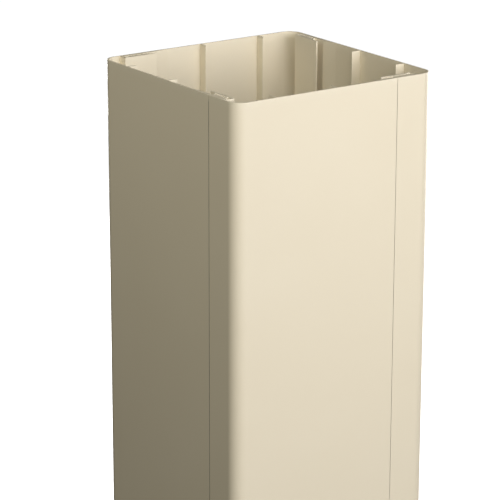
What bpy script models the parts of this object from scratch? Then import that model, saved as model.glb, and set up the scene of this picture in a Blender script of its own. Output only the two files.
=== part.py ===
"""Porch column wrap: four alike aluminium panels that snap together round a post.

Every panel is the same extrusion, cut square at both ends. It turns one rounded corner. Its long
leg covers most of one side and ends in a toothed tongue. Its short leg covers the last stretch of
the side before it and carries a pocket, into which the tongue of the panel before it snaps. So
each side has one seam, near its end corner, and two ribs inside that keep the skin off the post.

Metres, +Z up. The origin is at the middle of the foot, and the front panel's long leg faces -Y.
A side runs anticlockwise seen from above, from its start corner to its end corner.
"""
import math

import bmesh
import bpy
from mathutils import Vector

# The whole wrap
WIDTH = 0.2032             # outer face to outer face, an 8 in wrap
LENGTH = 1.0               # cut length of the four extrusions
CORNER_RADIUS = 0.0120     # outside of the rounded corners

# The extrusion's skin and ribs
WALL = 0.0015              # skin
RIB = 0.0015               # thickness of a rib
SIDE_RIB_AT = 0.040        # from a side's start corner to its first rib
FILLET = 0.0003            # foot of each rib and web
EDGE_RADIUS = 0.0003       # broken edges of ribs and plates
SEAM_EDGE = 0.00015        # edges of the skins along the seam

# The snap joint
SEAM_AT = 0.0393           # from a side's end corner to the seam
SEAM_GAP = 0.00035         # open line between the two skins
FIT = 0.0003               # clearance between faces that snap together
TONGUE = 0.0015            # plate of the tongue, under its teeth
ROOT = 0.0113              # thick stretch behind the seam, as far as the lock plate's edge
ROOT_TAPER = 0.016         # over which the root thins to the skin
TOOTH = 0.0029             # height of a tooth, on the tongue and in the pocket
TOOTH_PITCH = 0.0031       # length of a tooth's ramp
TOOTH_PLAY = 0.0027        # from the ramps of the tongue to the ramps of the pocket
CORNER_FLAT = 0.0055       # flat left between the rounded corner and the pocket's web
LOCK_PLATE = 0.0015        # web and inner plate of the pocket
TRAVEL = 0.0015            # room past the tongue's tip, for pushing it home
OVERLAP = 0.0106           # how far the lock plate runs past the seam

# Worked out from the sizes above
HALF = WIDTH / 2
TONGUE_BACK = WALL + FIT                                 # depths are from the outer face
TONGUE_FACE = TONGUE_BACK + TONGUE
PLATE_BACK = TONGUE_FACE + TOOTH_PLAY + TOOTH
REACH = PLATE_BACK + LOCK_PLATE                          # ribs and plates all end here
POCKET_AT = CORNER_RADIUS + CORNER_FLAT                  # distances are from the corner
POCKET_END = POCKET_AT + LOCK_PLATE
TONGUE_TIP = POCKET_END + TRAVEL
TEETH = int((SEAM_AT - TONGUE_TIP) / TOOTH_PITCH)

FLATNESS = 0.00002         # how far a facet may stand off the arc it follows
WELD = 0.000001            # points nearer than this are one point
SMOOTH_BELOW = math.radians(10)
PANELS = ("front_panel", "right_panel", "back_panel", "left_panel")


def from_start(distance, depth, radius=0.0):
    """Outline corner on the long leg's side, measured from that side's start corner."""
    return distance - HALF, depth - HALF, radius


def from_end(distance, depth, radius=0.0):
    """Outline corner on the long leg's side, measured back from that side's end corner."""
    return HALF - distance, depth - HALF, radius


def on_short_leg(distance, depth, radius=0.0):
    """Outline corner on the short leg, measured from the panel's own corner."""
    return depth - HALF, distance - HALF, radius


def tongue():
    """The long leg's edge: skin, toothed tongue under the next panel's skin, and root."""
    seam = SEAM_AT + SEAM_GAP / 2
    corners = [
        from_end(seam, 0, SEAM_EDGE),
        from_end(seam, TONGUE_BACK),
        from_end(TONGUE_TIP, TONGUE_BACK, EDGE_RADIUS),
        from_end(TONGUE_TIP, TONGUE_FACE),
    ]
    for tooth in range(1, TEETH + 1):
        crest = TONGUE_TIP + tooth * TOOTH_PITCH
        corners.append(from_end(crest, TONGUE_FACE + TOOTH))
        corners.append(from_end(crest, TONGUE_FACE))
    corners.append(from_end(seam + ROOT, TONGUE_FACE, FILLET))
    corners.append(from_end(seam + ROOT + ROOT_TAPER, WALL, FILLET))
    return corners


def rib(distance):
    """A rib on the long leg, its middle at a distance from the start corner."""
    return [
        from_start(distance + RIB / 2, WALL, FILLET),
        from_start(distance + RIB / 2, REACH, EDGE_RADIUS),
        from_start(distance - RIB / 2, REACH, EDGE_RADIUS),
        from_start(distance - RIB / 2, WALL, FILLET),
    ]


def pocket():
    """The short leg: web, lock plate with teeth that catch the tongue's, and skin."""
    seam = SEAM_AT - SEAM_GAP / 2
    corners = [
        on_short_leg(POCKET_AT, WALL, FILLET),
        on_short_leg(POCKET_AT, REACH, EDGE_RADIUS),
        on_short_leg(SEAM_AT + OVERLAP, REACH, EDGE_RADIUS),
        on_short_leg(SEAM_AT + OVERLAP, PLATE_BACK, EDGE_RADIUS),
    ]
    for tooth in range(TEETH, 0, -1):
        crest = TONGUE_TIP + tooth * TOOTH_PITCH + FIT
        corners.append(on_short_leg(crest + TOOTH_PITCH, PLATE_BACK))
        corners.append(on_short_leg(crest, PLATE_BACK - TOOTH))
    corners.append(on_short_leg(crest, PLATE_BACK))
    corners.append(on_short_leg(POCKET_END, PLATE_BACK, FILLET))
    corners.append(on_short_leg(POCKET_END, WALL, FILLET))
    corners.append(on_short_leg(seam, WALL))
    corners.append(on_short_leg(seam, 0, SEAM_EDGE))
    return corners


def rounded(corners):
    """Points of a closed outline whose corners (x, y, radius) are rounded by arcs.

    Two arcs that need more than the whole edge between them share it out.
    """
    places = [Vector((x, y)) for x, y, radius in corners]
    half_angles, setbacks = [], []
    for index, (x, y, radius) in enumerate(corners):
        back = places[index - 1] - places[index]
        ahead = places[(index + 1) % len(places)] - places[index]
        half_angles.append(back.angle(ahead) / 2)
        setbacks.append(radius / math.tan(half_angles[-1]))
    for index, place in enumerate(places):
        share = (place - places[index - 1]).length / max(setbacks[index - 1] + setbacks[index], WELD)
        setbacks[index - 1] *= min(share, 1)
        setbacks[index] *= min(share, 1)

    points = []
    for index, here in enumerate(places):
        if setbacks[index] == 0:
            points.append(here)
            continue
        radius = setbacks[index] * math.tan(half_angles[index])
        back = (places[index - 1] - here).normalized()
        ahead = (places[(index + 1) % len(places)] - here).normalized()
        centre = here + (back + ahead).normalized() * radius / math.sin(half_angles[index])
        first = (here + back * setbacks[index] - centre).normalized()
        last = (here + ahead * setbacks[index] - centre).normalized()
        facet = 2 * math.acos(1 - min(FLATNESS / radius, 0.5))
        facets = max(2, math.ceil(first.angle(last) / facet))
        for step in range(facets + 1):
            points.append(centre + first.slerp(last, step / facets) * radius)
    return points


def panel_outline():
    """Cross-section of the extrusion, anticlockwise, with its corner at -X -Y."""
    corners = [from_start(0, 0, CORNER_RADIUS)]
    corners += tongue()
    corners += rib(HALF)
    corners += rib(SIDE_RIB_AT)
    corners.append(from_start(WALL, WALL, CORNER_RADIUS - WALL))
    corners += pocket()
    return rounded(corners)


def extrude(name, outline, length):
    """Closed mesh of a flat outline pushed along Z, half the length up and half down."""
    curve = bpy.data.curves.new(name, "CURVE")
    curve.dimensions = "2D"
    curve.fill_mode = "BOTH"
    curve.extrude = length / 2
    spline = curve.splines.new("POLY")
    spline.points.add(len(outline) - 1)
    for point, place in zip(spline.points, outline):
        point.co = (place.x, place.y, 0, 1)
    spline.use_cyclic_u = True

    guide = bpy.data.objects.new(name, curve)
    bpy.context.scene.collection.objects.link(guide)
    evaluated = guide.evaluated_get(bpy.context.evaluated_depsgraph_get())
    mesh = bpy.data.meshes.new_from_object(evaluated)
    bpy.data.objects.remove(guide)

    welded = bmesh.new()
    welded.from_mesh(mesh)
    bmesh.ops.remove_doubles(welded, verts=welded.verts, dist=WELD)
    welded.to_mesh(mesh)
    welded.free()
    mesh.name = name
    mesh.shade_smooth()
    mesh.set_sharp_from_angle(angle=SMOOTH_BELOW)
    return mesh


def almond_paint():
    """Baked almond paint with a low sheen, on aluminium."""
    material = bpy.data.materials.new("almond_paint")
    material.use_nodes = True
    shader = material.node_tree.nodes["Principled BSDF"]
    shader.inputs["Base Color"].default_value = (0.75, 0.68, 0.535, 1.0)
    shader.inputs["Roughness"].default_value = 0.5
    shader.inputs["Metallic"].default_value = 0.0
    return material


for leftover in list(bpy.data.objects):
    bpy.data.objects.remove(leftover)

wrap_parts = bpy.data.collections.new("column_wrap")
bpy.context.scene.collection.children.link(wrap_parts)
wrap = bpy.data.objects.new("column_wrap", None)
wrap_parts.objects.link(wrap)

panel_mesh = extrude("wrap_panel", panel_outline(), LENGTH)
panel_mesh.materials.append(almond_paint())
for turn, panel_name in enumerate(PANELS):
    panel = bpy.data.objects.new(panel_name, panel_mesh)
    panel.location.z = LENGTH / 2
    panel.rotation_euler.z = turn * math.pi / 2
    panel.parent = wrap
    wrap_parts.objects.link(panel)
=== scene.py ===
"""A porch column wrap of almond painted aluminium: four alike extrusions snapped together.

Everything is in metres, with +Z up. The wrap stands on its sawn foot at the origin, and the
front panel's long leg faces -Y.
"""

import math

import bpy
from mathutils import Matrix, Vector


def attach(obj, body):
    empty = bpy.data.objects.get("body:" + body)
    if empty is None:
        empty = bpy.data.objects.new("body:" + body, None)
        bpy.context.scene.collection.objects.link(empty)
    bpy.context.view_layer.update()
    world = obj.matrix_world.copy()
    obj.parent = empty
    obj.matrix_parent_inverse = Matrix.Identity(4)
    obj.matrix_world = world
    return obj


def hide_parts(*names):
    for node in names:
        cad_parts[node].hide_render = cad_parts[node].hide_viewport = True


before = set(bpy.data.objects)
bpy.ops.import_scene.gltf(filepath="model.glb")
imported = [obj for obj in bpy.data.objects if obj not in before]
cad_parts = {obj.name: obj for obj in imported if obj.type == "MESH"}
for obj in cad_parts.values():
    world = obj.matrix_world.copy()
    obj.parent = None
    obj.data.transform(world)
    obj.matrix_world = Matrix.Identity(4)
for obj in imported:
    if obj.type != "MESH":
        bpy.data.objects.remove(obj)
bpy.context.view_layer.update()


# The extrusion. Every panel is a length of one aluminium profile, pushed hot through a die. It
# turns one rounded corner. Its long leg ends in a toothed tongue, and its short leg carries the
# pocket that the tongue of the panel before it is pushed into. Depths are from the outer face.

WIDTH = 0.2032                # outer face to outer face
CORNER_RADIUS = 0.0120        # outside of the rounded corners
WALL = 0.0015                 # skin
RIB = 0.0015                  # thickness of a rib
SIDE_RIB_AT = 0.040           # from a side's start corner to its first rib
HALF = WIDTH / 2

FILLET = 0.0003               # foot of each rib and web
EDGE_RADIUS = 0.0003          # broken edges of ribs and plates
FINE_EDGE = 0.00015           # rounding that the die leaves on the teeth and along the seam

SEAM_AT = 0.0393              # from a side's end corner to the seam
SEAM_GAP = 0.00035            # open line between the two skins
FIT = 0.0003                  # clearance between faces that snap together
TONGUE = 0.0015               # plate of the tongue, under its teeth
ROOT = 0.0113                 # thick stretch behind the seam, as far as the lock plate's edge
ROOT_TAPER = 0.016            # over which the root thins to the skin
TOOTH = 0.0029                # height of a tooth
TOOTH_PITCH = 0.0031          # length of a tooth's ramp
TOOTH_PLAY = 0.0027           # from the ramps of the tongue to the ramps of the pocket
CORNER_FLAT = 0.0055          # flat between the rounded corner and the pocket's web
LOCK_PLATE = 0.0015           # web and inner plate of the pocket
TRAVEL = 0.0015               # room past the tongue's tip
OVERLAP = 0.0106              # how far the lock plate runs past the seam

TONGUE_BACK = WALL + FIT
TONGUE_FACE = TONGUE_BACK + TONGUE
PLATE_BACK = TONGUE_FACE + TOOTH_PLAY + TOOTH
REACH = PLATE_BACK + LOCK_PLATE
POCKET_END = CORNER_RADIUS + CORNER_FLAT + LOCK_PLATE
TONGUE_TIP = POCKET_END + TRAVEL
TEETH = int((SEAM_AT - TONGUE_TIP) / TOOTH_PITCH)

FLATNESS = 0.000004           # how far a facet may stand off the arc it follows


def from_start(distance, depth, radius=0.0):
    """Corner on the long leg's side, measured from that side's start corner."""
    return distance - HALF, depth - HALF, radius


def from_end(distance, depth, radius=0.0):
    """Corner on the long leg's side, measured back from that side's end corner."""
    return HALF - distance, depth - HALF, radius


def on_short_leg(distance, depth, radius=0.0):
    """Corner on the short leg, measured from the panel's own corner."""
    return depth - HALF, distance - HALF, radius


def tongue():
    """The long leg's edge: skin, toothed tongue and the root that it grows from."""
    seam = SEAM_AT + SEAM_GAP / 2
    corners = [
        from_end(seam, 0, FINE_EDGE),
        from_end(seam, TONGUE_BACK),
        from_end(TONGUE_TIP, TONGUE_BACK, EDGE_RADIUS),
        from_end(TONGUE_TIP, TONGUE_FACE, FINE_EDGE),
    ]
    for tooth in range(1, TEETH + 1):
        crest = TONGUE_TIP + tooth * TOOTH_PITCH
        corners.append(from_end(crest, TONGUE_FACE + TOOTH, FINE_EDGE))
        corners.append(from_end(crest, TONGUE_FACE, FINE_EDGE))
    corners.append(from_end(seam + ROOT, TONGUE_FACE, FILLET))
    corners.append(from_end(seam + ROOT + ROOT_TAPER, WALL, FILLET))
    return corners


def rib(distance):
    """A rib on the long leg, its middle at a distance from the start corner."""
    return [
        from_start(distance + RIB / 2, WALL, FILLET),
        from_start(distance + RIB / 2, REACH, EDGE_RADIUS),
        from_start(distance - RIB / 2, REACH, EDGE_RADIUS),
        from_start(distance - RIB / 2, WALL, FILLET),
    ]


def pocket():
    """The short leg: web, lock plate with teeth that catch the tongue's, and skin."""
    seam = SEAM_AT - SEAM_GAP / 2
    corners = [
        on_short_leg(POCKET_END - LOCK_PLATE, WALL, FILLET),
        on_short_leg(POCKET_END - LOCK_PLATE, REACH, EDGE_RADIUS),
        on_short_leg(SEAM_AT + OVERLAP, REACH, EDGE_RADIUS),
        on_short_leg(SEAM_AT + OVERLAP, PLATE_BACK, EDGE_RADIUS),
    ]
    for tooth in range(TEETH, 0, -1):
        crest = TONGUE_TIP + tooth * TOOTH_PITCH + FIT
        corners.append(on_short_leg(crest + TOOTH_PITCH, PLATE_BACK, FINE_EDGE))
        corners.append(on_short_leg(crest, PLATE_BACK - TOOTH, FINE_EDGE))
    corners.append(on_short_leg(crest, PLATE_BACK, FINE_EDGE))
    corners.append(on_short_leg(POCKET_END, PLATE_BACK, FILLET))
    corners.append(on_short_leg(POCKET_END, WALL, FILLET))
    corners.append(on_short_leg(seam, WALL))
    corners.append(on_short_leg(seam, 0, FINE_EDGE))
    return corners


def rounded(corners):
    """Points of a closed outline whose corners (x, y, radius) are rounded by arcs.

    Two arcs that need more than the whole edge between them share it out. Each point comes with
    its sharpness: 1 on a small rounded edge, -1 in a fillet and 0 elsewhere.
    """
    places = [Vector((x, y)) for x, y, radius in corners]
    half_angles, setbacks = [], []
    for index, (x, y, radius) in enumerate(corners):
        back = places[index - 1] - places[index]
        ahead = places[(index + 1) % len(places)] - places[index]
        half_angles.append(back.angle(ahead) / 2)
        setbacks.append(radius / math.tan(half_angles[-1]))
    for index, place in enumerate(places):
        wanted = max(setbacks[index - 1] + setbacks[index], FLATNESS)
        share = (place - places[index - 1]).length / wanted
        setbacks[index - 1] *= min(share, 1)
        setbacks[index] *= min(share, 1)

    points = []
    for index, here in enumerate(places):
        if setbacks[index] == 0:
            points.append((here, 0))
            continue
        radius = setbacks[index] * math.tan(half_angles[index])
        back = (places[index - 1] - here).normalized()
        ahead = (places[(index + 1) % len(places)] - here).normalized()
        centre = here + (back + ahead).normalized() * radius / math.sin(half_angles[index])
        first = (here + back * setbacks[index] - centre).normalized()
        last = (here + ahead * setbacks[index] - centre).normalized()
        facet = 2 * math.acos(1 - min(FLATNESS / radius, 0.5))
        facets = max(2, math.ceil(first.angle(last) / facet))
        sharpness = 0
        if radius < WALL:
            sharpness = math.copysign(1, ahead.cross(back))
        for step in range(facets + 1):
            inside = 0 < step < facets
            points.append((centre + first.slerp(last, step / facets) * radius, sharpness * inside))
    return points


def profile_outline():
    """Cross-section of the extrusion, anticlockwise, with its corner at -X -Y."""
    corners = [from_start(0, 0, CORNER_RADIUS)]
    corners += tongue()
    corners += rib(HALF)
    corners += rib(SIDE_RIB_AT)
    corners.append(from_start(WALL, WALL, CORNER_RADIUS - WALL))
    corners += pocket()
    return rounded(corners)


# The cut. Each panel is sawn square at both ends, and the burr that the saw leaves is taken off
# with a fine file before painting. The tree below follows those steps: it pushes the outline
# along the column, caps it, files the arrises of the caps and turns the panel to its side.

LENGTH = 1.0                  # cut length
FILED = 0.0001                # width of the filed arris
CAP_SLOPE = 0.5               # a cap's normal has more Z than this, up or down


def cutting_tree(skin_paint, end_paint):
    """Geometry Nodes that turn a closed outline into one sawn and filed panel."""
    tree = bpy.data.node_groups.new("cut_panel", "GeometryNodeTree")
    face = tree.interface
    face.new_socket("Outline", in_out="INPUT", socket_type="NodeSocketGeometry")
    face.new_socket("Length", in_out="INPUT", socket_type="NodeSocketFloat")
    face.new_socket("Filed", in_out="INPUT", socket_type="NodeSocketFloat")
    face.new_socket("Turn", in_out="INPUT", socket_type="NodeSocketFloat")
    face.new_socket("Panel", in_out="OUTPUT", socket_type="NodeSocketGeometry")

    def step(kind, **inputs):
        """One node, its inputs joined to sockets or set to values."""
        made = tree.nodes.new(kind)
        for name, value in inputs.items():
            socket = made.inputs[name.replace("_", " ")]
            if isinstance(value, bpy.types.NodeSocket):
                tree.links.new(value, socket)
            else:
                socket.default_value = value
        return made

    given = step("NodeGroupInput").outputs

    outline = step("GeometryNodeMeshToCurve", Mesh=given["Outline"]).outputs["Curve"]
    outward = step("GeometryNodeInputNormal").outputs["Normal"]
    store = tree.nodes.new("GeometryNodeStoreNamedAttribute")
    store.data_type = "FLOAT_VECTOR"
    store.domain = "POINT"
    tree.links.new(outline, store.inputs["Geometry"])
    store.inputs["Name"].default_value = "outward"
    tree.links.new(outward, store.inputs["Value"])

    top = tree.nodes.new("ShaderNodeMath")
    top.operation = "SUBTRACT"
    tree.links.new(given["Length"], top.inputs[0])
    tree.links.new(given["Filed"], top.inputs[1])
    low = step("ShaderNodeCombineXYZ", Z=given["Filed"]).outputs["Vector"]
    high = step("ShaderNodeCombineXYZ", Z=top.outputs["Value"]).outputs["Vector"]
    line = step("GeometryNodeCurvePrimitiveLine", Start=low, End=high).outputs["Curve"]
    push = step("GeometryNodeCurveToMesh", Curve=line, Profile_Curve=store.outputs["Geometry"])
    push.inputs["Fill Caps"].default_value = True

    slope = step("ShaderNodeSeparateXYZ", Vector=step("GeometryNodeInputNormal").outputs["Normal"])
    upright = tree.nodes.new("ShaderNodeMath")
    upright.operation = "ABSOLUTE"
    tree.links.new(slope.outputs["Z"], upright.inputs[0])
    is_cap = tree.nodes.new("FunctionNodeCompare")
    is_cap.data_type = "FLOAT"
    is_cap.operation = "GREATER_THAN"
    tree.links.new(upright.outputs["Value"], is_cap.inputs["A"])
    is_cap.inputs["B"].default_value = CAP_SLOPE

    lift = tree.nodes.new("GeometryNodeExtrudeMesh")
    lift.mode = "FACES"
    tree.links.new(push.outputs["Mesh"], lift.inputs["Mesh"])
    tree.links.new(is_cap.outputs["Result"], lift.inputs["Selection"])
    tree.links.new(given["Filed"], lift.inputs["Offset Scale"])
    lift.inputs["Individual"].default_value = False

    read = tree.nodes.new("GeometryNodeInputNamedAttribute")
    read.data_type = "FLOAT_VECTOR"
    read.inputs["Name"].default_value = "outward"
    inward = tree.nodes.new("ShaderNodeMath")
    inward.operation = "MULTIPLY"
    tree.links.new(given["Filed"], inward.inputs[0])
    inward.inputs[1].default_value = -1.0
    shift = tree.nodes.new("ShaderNodeVectorMath")
    shift.operation = "SCALE"
    tree.links.new(read.outputs["Attribute"], shift.inputs["Vector"])
    tree.links.new(inward.outputs["Value"], shift.inputs["Scale"])
    filed = step(
        "GeometryNodeSetPosition",
        Geometry=lift.outputs["Mesh"],
        Selection=lift.outputs["Top"],
        Offset=shift.outputs["Vector"],
    )

    axis = step("ShaderNodeCombineXYZ", Z=given["Turn"]).outputs["Vector"]
    turned = step("GeometryNodeTransform", Geometry=filed.outputs["Geometry"], Rotation=axis)
    whole = step("GeometryNodeRealizeInstances", Geometry=turned.outputs["Geometry"])
    painted = step(
        "GeometryNodeSetMaterial",
        Geometry=whole.outputs["Geometry"],
        Material=skin_paint,
    )
    ends = step(
        "GeometryNodeSetMaterial",
        Geometry=painted.outputs["Geometry"],
        Selection=lift.outputs["Top"],
        Material=end_paint,
    )
    step("NodeGroupOutput", Panel=ends.outputs["Geometry"])
    return tree


# The paint. Almond enamel of low sheen, with a fine orange peel, is sprayed over the skins, ribs
# and sawn ends, and baked. Its colour is lighter on arrises, where it draws thin and where a
# highlight is painted, darker in hollows as painted shade, and near black as painted shade in the
# edge that each seam hides. It lets the faint lines that the die and the saw left in the metal
# show.

ALMOND = (0.75, 0.68, 0.535, 1.0)
# Lighter: thin paint, rubbed patches, and the painted highlight on arrises.
ALMOND_THIN_AND_LIT = (0.79, 0.73, 0.60, 1.0)
# Darker: heavy spray patches, and the painted shade in hollows.
ALMOND_HEAVY_AND_SHADED = (0.715, 0.637, 0.487, 1.0)
# Painted shade: near black along the seam's hidden edge, where the gap lies in shade.
SEAM_SHADE_PAINT = (0.10, 0.095, 0.085, 1.0)
HEAVY_AND_SHADED_AT = 0.1                # where the heavy, shaded colour stands between the seam's painted shade, at 0, and thin and lit, at 1
PLAIN_AT = 0.5                # where the plain almond stands
EDGE_SHARE = 0.3              # how far an arris goes towards the lighter colour and a hollow towards the painted shade
SHEEN_ROUGHNESS = 0.48
ROUGHNESS_SPREAD = 0.06
PEEL_SIZE = 0.0016            # from one dimple of the orange peel to the next
PEEL_HEIGHT = 0.0000025
PEEL_DETAIL = 1.0
MOTTLE_SIZE = 0.09            # patches where the spray lay a little heavier
MOTTLE_DETAIL = 3.0
MOTTLE_SHARE = 0.12           # how far a patch goes towards the thick or thin colour
DIE_LINE_WIDTH = 0.0006
DIE_LINE_LENGTH = 0.25
DIE_LINE_HEIGHT = 0.0000012
SAW_LINE_WIDTH = 0.00035
SAW_LINE_LENGTH = 0.02
SAW_LINE_HEIGHT = 0.000012
SAW_LINE_TURN = math.radians(20)
LINE_DETAIL = 2.0
RUB_REACH = 0.006             # how far from a sawn end the handling rubs the paint
RUB_SIZE = 0.004              # size of a rubbed patch
RUB_DETAIL = 2.0
RUB_SHARE = 0.35              # how far a rubbed patch goes towards the thin and lit colour


def enamel_group():
    """Shader group for baked enamel: its peel as a height, and where it lies heavy or thin."""
    group = bpy.data.node_groups.new("baked_enamel", "ShaderNodeTree")
    face = group.interface
    sizes = ("Peel Size", "Peel Height", "Mottle Size", "Middle Height", "Rub Reach", "Rub Size")
    for name in sizes:
        face.new_socket(name, in_out="INPUT", socket_type="NodeSocketFloat")
    for name in ("Height", "Mottle", "Rubbed"):
        face.new_socket(name, in_out="OUTPUT", socket_type="NodeSocketFloat")
    nodes, links = group.nodes, group.links
    given = nodes.new("NodeGroupInput").outputs
    result = nodes.new("NodeGroupOutput").inputs
    place = nodes.new("ShaderNodeTexCoord").outputs["Object"]

    def figure(operation, first, second=None, clamp=False):
        """A sum, product or other figure of two sockets or numbers."""
        made = nodes.new("ShaderNodeMath")
        made.operation = operation
        made.use_clamp = clamp
        for socket, value in zip(made.inputs, (first, second)):
            if isinstance(value, bpy.types.NodeSocket):
                links.new(value, socket)
            elif value is not None:
                socket.default_value = value
        return made.outputs["Value"]

    def cloud(size, detail):
        """Noise whose blots have the given size."""
        made = nodes.new("ShaderNodeTexNoise")
        made.inputs["Detail"].default_value = detail
        links.new(place, made.inputs["Vector"])
        links.new(figure("DIVIDE", 1.0, size), made.inputs["Scale"])
        return made.outputs["Fac"]

    peel = cloud(given["Peel Size"], PEEL_DETAIL)
    links.new(figure("MULTIPLY", peel, given["Peel Height"]), result["Height"])
    links.new(cloud(given["Mottle Size"], MOTTLE_DETAIL), result["Mottle"])

    split = nodes.new("ShaderNodeSeparateXYZ")
    links.new(place, split.inputs["Vector"])
    off_middle = figure("ABSOLUTE", figure("SUBTRACT", split.outputs["Z"], given["Middle Height"]))
    from_end = figure("SUBTRACT", given["Middle Height"], off_middle)
    near_end = figure("SUBTRACT", 1.0, figure("DIVIDE", from_end, given["Rub Reach"]), clamp=True)
    patches = figure("MULTIPLY", cloud(given["Rub Size"], RUB_DETAIL), near_end, clamp=True)
    links.new(patches, result["Rubbed"])
    return group


def almond_paint(name, enamel, edge_share, line_scale, line_turn, line_height):
    """Baked almond enamel over metal scored with lines of one kind."""
    paint = bpy.data.materials.new(name)
    paint.use_nodes = True
    nodes, links = paint.node_tree.nodes, paint.node_tree.links
    shader = nodes["Principled BSDF"]

    film = nodes.new("ShaderNodeGroup")
    film.node_tree = enamel
    film.inputs["Peel Size"].default_value = PEEL_SIZE
    film.inputs["Peel Height"].default_value = PEEL_HEIGHT
    film.inputs["Mottle Size"].default_value = MOTTLE_SIZE
    film.inputs["Middle Height"].default_value = LENGTH / 2
    film.inputs["Rub Reach"].default_value = RUB_REACH
    film.inputs["Rub Size"].default_value = RUB_SIZE

    stretch = nodes.new("ShaderNodeMapping")
    stretch.inputs["Rotation"].default_value = (0.0, 0.0, line_turn)
    stretch.inputs["Scale"].default_value = line_scale
    marks = nodes.new("ShaderNodeTexNoise")
    marks.inputs["Scale"].default_value = 1.0
    marks.inputs["Detail"].default_value = LINE_DETAIL
    links.new(nodes.new("ShaderNodeTexCoord").outputs["Object"], stretch.inputs["Vector"])
    links.new(stretch.outputs["Vector"], marks.inputs["Vector"])

    scored = nodes.new("ShaderNodeMath")
    scored.operation = "MULTIPLY_ADD"
    links.new(marks.outputs["Fac"], scored.inputs[0])
    scored.inputs[1].default_value = line_height
    links.new(film.outputs["Height"], scored.inputs[2])
    bump = nodes.new("ShaderNodeBump")
    bump.inputs["Distance"].default_value = 1.0
    links.new(scored.outputs["Value"], bump.inputs["Height"])
    links.new(bump.outputs["Normal"], shader.inputs["Normal"])

    # This attribute paints light and shade: lighter arrises, darker fillets, the seam near black.
    edge_light_and_shade = nodes.new("ShaderNodeAttribute")
    edge_light_and_shade.attribute_name = "arris"
    heavy = nodes.new("ShaderNodeMath")
    heavy.operation = "MULTIPLY_ADD"
    links.new(film.outputs["Mottle"], heavy.inputs[0])
    heavy.inputs[1].default_value = 2 * MOTTLE_SHARE
    heavy.inputs[2].default_value = PLAIN_AT - MOTTLE_SHARE
    mottle_and_edge_light = nodes.new("ShaderNodeMath")
    mottle_and_edge_light.operation = "MULTIPLY_ADD"
    mottle_and_edge_light.use_clamp = True
    links.new(edge_light_and_shade.outputs["Fac"], mottle_and_edge_light.inputs[0])
    mottle_and_edge_light.inputs[1].default_value = edge_share
    links.new(heavy.outputs["Value"], mottle_and_edge_light.inputs[2])
    rubbed = nodes.new("ShaderNodeMath")
    rubbed.operation = "MULTIPLY_ADD"
    rubbed.use_clamp = True
    links.new(film.outputs["Rubbed"], rubbed.inputs[0])
    rubbed.inputs[1].default_value = RUB_SHARE
    links.new(mottle_and_edge_light.outputs["Value"], rubbed.inputs[2])

    # The ramp holds painted light: seam shade at 0, hollow shade, almond, and lit arrises at 1.
    colour = nodes.new("ShaderNodeValToRGB")
    colour.color_ramp.elements[0].color = SEAM_SHADE_PAINT
    colour.color_ramp.elements[1].color = ALMOND_THIN_AND_LIT
    colour.color_ramp.elements.new(HEAVY_AND_SHADED_AT).color = ALMOND_HEAVY_AND_SHADED
    colour.color_ramp.elements.new(PLAIN_AT).color = ALMOND
    links.new(rubbed.outputs["Value"], colour.inputs["Fac"])
    links.new(colour.outputs["Color"], shader.inputs["Base Color"])

    rough = nodes.new("ShaderNodeMapRange")
    rough.inputs["To Min"].default_value = SHEEN_ROUGHNESS - ROUGHNESS_SPREAD
    rough.inputs["To Max"].default_value = SHEEN_ROUGHNESS + ROUGHNESS_SPREAD
    links.new(film.outputs["Mottle"], rough.inputs["Value"])
    links.new(rough.outputs["Result"], shader.inputs["Roughness"])
    return paint


enamel = enamel_group()
die_scale = (1 / DIE_LINE_WIDTH, 1 / DIE_LINE_WIDTH, 1 / DIE_LINE_LENGTH)
saw_scale = (1 / SAW_LINE_LENGTH, 1 / SAW_LINE_WIDTH, 1 / SAW_LINE_LENGTH)
skin_paint = almond_paint(
    "almond_paint_on_skin", enamel, EDGE_SHARE, die_scale, 0.0, DIE_LINE_HEIGHT
)
end_paint = almond_paint(
    "almond_paint_on_sawn_end", enamel, 0.0, saw_scale, SAW_LINE_TURN, SAW_LINE_HEIGHT
)


# The four panels. They are pushed together round the post one after another, each tongue into
# the pocket of the next, and the last one closes the ring. Seen from above they run
# anticlockwise from the front.

PANELS = ("front_panel", "right_panel", "back_panel", "left_panel")
SMOOTH_BELOW = math.radians(30)   # faces that meet at less than this shade as one
SEAM_SHADE_LEVEL = -3.0             # painted shade in the seam, on the scale of sharpness
SEAM_SHADE_REACH = 0.000135         # how far onto the rounded edge of the seam the painted shade goes


def apply_modifiers(panel):
    """Give a panel the mesh that its modifiers make of it, and take them off."""
    evaluated = panel.evaluated_get(bpy.context.evaluated_depsgraph_get())
    made = bpy.data.meshes.new_from_object(evaluated)
    panel.modifiers.clear()
    panel.data = made
    made.name = panel.name


def painted_light_level(place, sharpness):
    """Painted light and shade at a point of the outline: its sharpness, or the seam's painted
    shade.
    """
    into_skin = HALF - SEAM_AT - SEAM_GAP / 2 - place.x
    in_seam = abs(into_skin) < SEAM_SHADE_REACH and place.y < TONGUE_BACK + FLATNESS - HALF
    return SEAM_SHADE_LEVEL if in_seam else float(sharpness)


outline_points = profile_outline()
outline_mesh = bpy.data.meshes.new("panel_outline")
outline_mesh.from_pydata(
    [(place.x, place.y, 0.0) for place, sharpness in outline_points],
    [(index, (index + 1) % len(outline_points)) for index in range(len(outline_points))],
    [],
)
# Painted light and shade per point: lighter arrises, shaded fillets and the shaded seam.
arris = outline_mesh.attributes.new("arris", "FLOAT", "POINT")
arris.data.foreach_set("value", [painted_light_level(*point) for point in outline_points])
cut_panel = cutting_tree(skin_paint, end_paint)
cut_inputs = {
    item.name: item.identifier for item in cut_panel.interface.items_tree if item.in_out == "INPUT"
}

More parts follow.
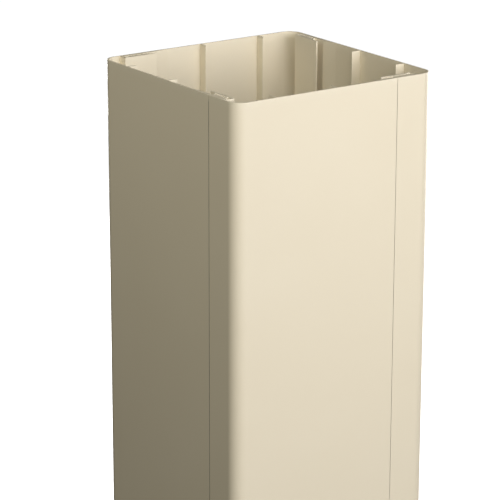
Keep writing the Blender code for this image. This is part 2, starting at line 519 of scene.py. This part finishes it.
for turn, panel_name in enumerate(PANELS):
    painted_panel = bpy.data.objects.new("painted_" + panel_name, outline_mesh)
    bpy.context.scene.collection.objects.link(painted_panel)
    cut = painted_panel.modifiers.new("cut_panel", "NODES")
    cut.node_group = cut_panel
    cut[cut_inputs["Length"]] = LENGTH
    cut[cut_inputs["Filed"]] = FILED
    cut[cut_inputs["Turn"]] = turn * math.pi / 2
    apply_modifiers(painted_panel)
    painted_panel.data.set_sharp_from_angle(angle=SMOOTH_BELOW)
    flats = painted_panel.modifiers.new("flats_shade_flat", "WEIGHTED_NORMAL")
    flats.keep_sharp = True
    apply_modifiers(painted_panel)
    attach(painted_panel, "root")
    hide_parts(panel_name)


# The studio. The wrap stands on pale paper. Four soft boxes light its front and near corner, one
# its left side, and two low ones its rear sides. The pale room adds a little light.

FLOOR_SIZE = 60.0
FLOOR_PALE = (0.9, 0.9, 0.9, 1.0)
FLOOR_ROUGHNESS = 0.9
FLOOR_GLOW = 1.0              # the paper's own light, so that it stays pale away from the lamps
ROOM_PALE = (1.0, 1.0, 1.0, 1.0)
ROOM_LIGHT = 0.02             # what the room casts on the wrap
ROOM_SEEN = 1.0               # how bright its walls look behind the wrap

floor_mesh = bpy.data.meshes.new("studio_floor")
reach = FLOOR_SIZE / 2
floor_mesh.from_pydata(
    [(-reach, -reach, 0.0), (reach, -reach, 0.0), (reach, reach, 0.0), (-reach, reach, 0.0)],
    [],
    [(0, 1, 2, 3)],
)
floor_paper = bpy.data.materials.new("floor_paper")
floor_paper.use_nodes = True
paper = floor_paper.node_tree.nodes["Principled BSDF"]
paper.inputs["Base Color"].default_value = FLOOR_PALE
paper.inputs["Roughness"].default_value = FLOOR_ROUGHNESS
paper.inputs["Emission Color"].default_value = ROOM_PALE
paper.inputs["Emission Strength"].default_value = FLOOR_GLOW
floor_mesh.materials.append(floor_paper)
floor = bpy.data.objects.new("studio_floor", floor_mesh)
floor.visible_diffuse = False
floor.visible_glossy = False
bpy.context.scene.collection.objects.link(floor)

room = bpy.data.worlds.new("studio_room")
room.use_nodes = True
room_nodes, room_links = room.node_tree.nodes, room.node_tree.links
seen_directly = room_nodes.new("ShaderNodeLightPath").outputs["Is Camera Ray"]
brightness = room_nodes.new("ShaderNodeMath")
brightness.operation = "MULTIPLY_ADD"
room_links.new(seen_directly, brightness.inputs[0])
brightness.inputs[1].default_value = ROOM_SEEN - ROOM_LIGHT
brightness.inputs[2].default_value = ROOM_LIGHT
room_nodes["Background"].inputs["Color"].default_value = ROOM_PALE
room_links.new(brightness.outputs["Value"], room_nodes["Background"].inputs["Strength"])
bpy.context.scene.world = room

LAMP_AIM = (0.0, 0.0, 0.95)
COOL = (1.0, 0.985, 0.985)
MELLOW = (1.0, 0.975, 0.88)
WARM = (1.0, 0.96, 0.80)
SOFT_BOXES = {                # place, side of the square box, watts, colour
    "front_box": ((0.0, -2.125, 1.519), 1.0, 27.8, COOL),
    "near_right_box": ((0.3, -1.12, 1.261), 0.5, 3.0, COOL),
    "low_right_box": ((0.598, -1.035, 1.055), 0.5, 1.9, COOL),
    "left_front_box": ((-1.386, -2.4, 2.55), 1.6, 33.6, MELLOW),
    "left_box": ((-0.983, 0.0, 1.638), 0.5, 4.0, WARM),
    "right_rear_box": ((2.9, 0.9, 0.6), 0.7, 40.0, COOL),
    "back_rear_box": ((0.9, 2.9, 0.6), 0.7, 40.0, COOL),
}
for box_name, (box_place, box_side, box_power, box_colour) in SOFT_BOXES.items():
    lamp = bpy.data.lights.new(box_name, "AREA")
    lamp.size = box_side
    lamp.energy = box_power
    lamp.color = box_colour
    holder = bpy.data.objects.new(box_name, lamp)
    holder.location = box_place
    towards = Vector(LAMP_AIM) - Vector(box_place)
    holder.rotation_euler = towards.to_track_quat("-Z", "Y").to_euler()
    holder.visible_camera = False
    bpy.context.scene.collection.objects.link(holder)


# The camera. It looks down past the near corner from well back, through a long lens, with its
# view shifted a little to one side.

CAMERA_PLACE = (-1.2084, -1.6983, 1.4761)
CAMERA_DOWN = math.radians(17.097)
CAMERA_HEADING = math.radians(-34.626)
CAMERA_LENS = 180.27          # millimetres, on the sensor below
CAMERA_SENSOR = 36.0
CAMERA_SHIFT = 0.0363         # share of the frame's width

camera = bpy.data.cameras.new("camera")
camera.lens = CAMERA_LENS
camera.sensor_width = CAMERA_SENSOR
camera.shift_x = CAMERA_SHIFT
camera_holder = bpy.data.objects.new("camera", camera)
camera_holder.location = CAMERA_PLACE
camera_holder.rotation_euler = (math.pi / 2 - CAMERA_DOWN, 0.0, CAMERA_HEADING)
bpy.context.scene.collection.objects.link(camera_holder)
bpy.context.scene.camera = camera_holder
bpy.context.scene.view_settings.view_transform = "Standard"
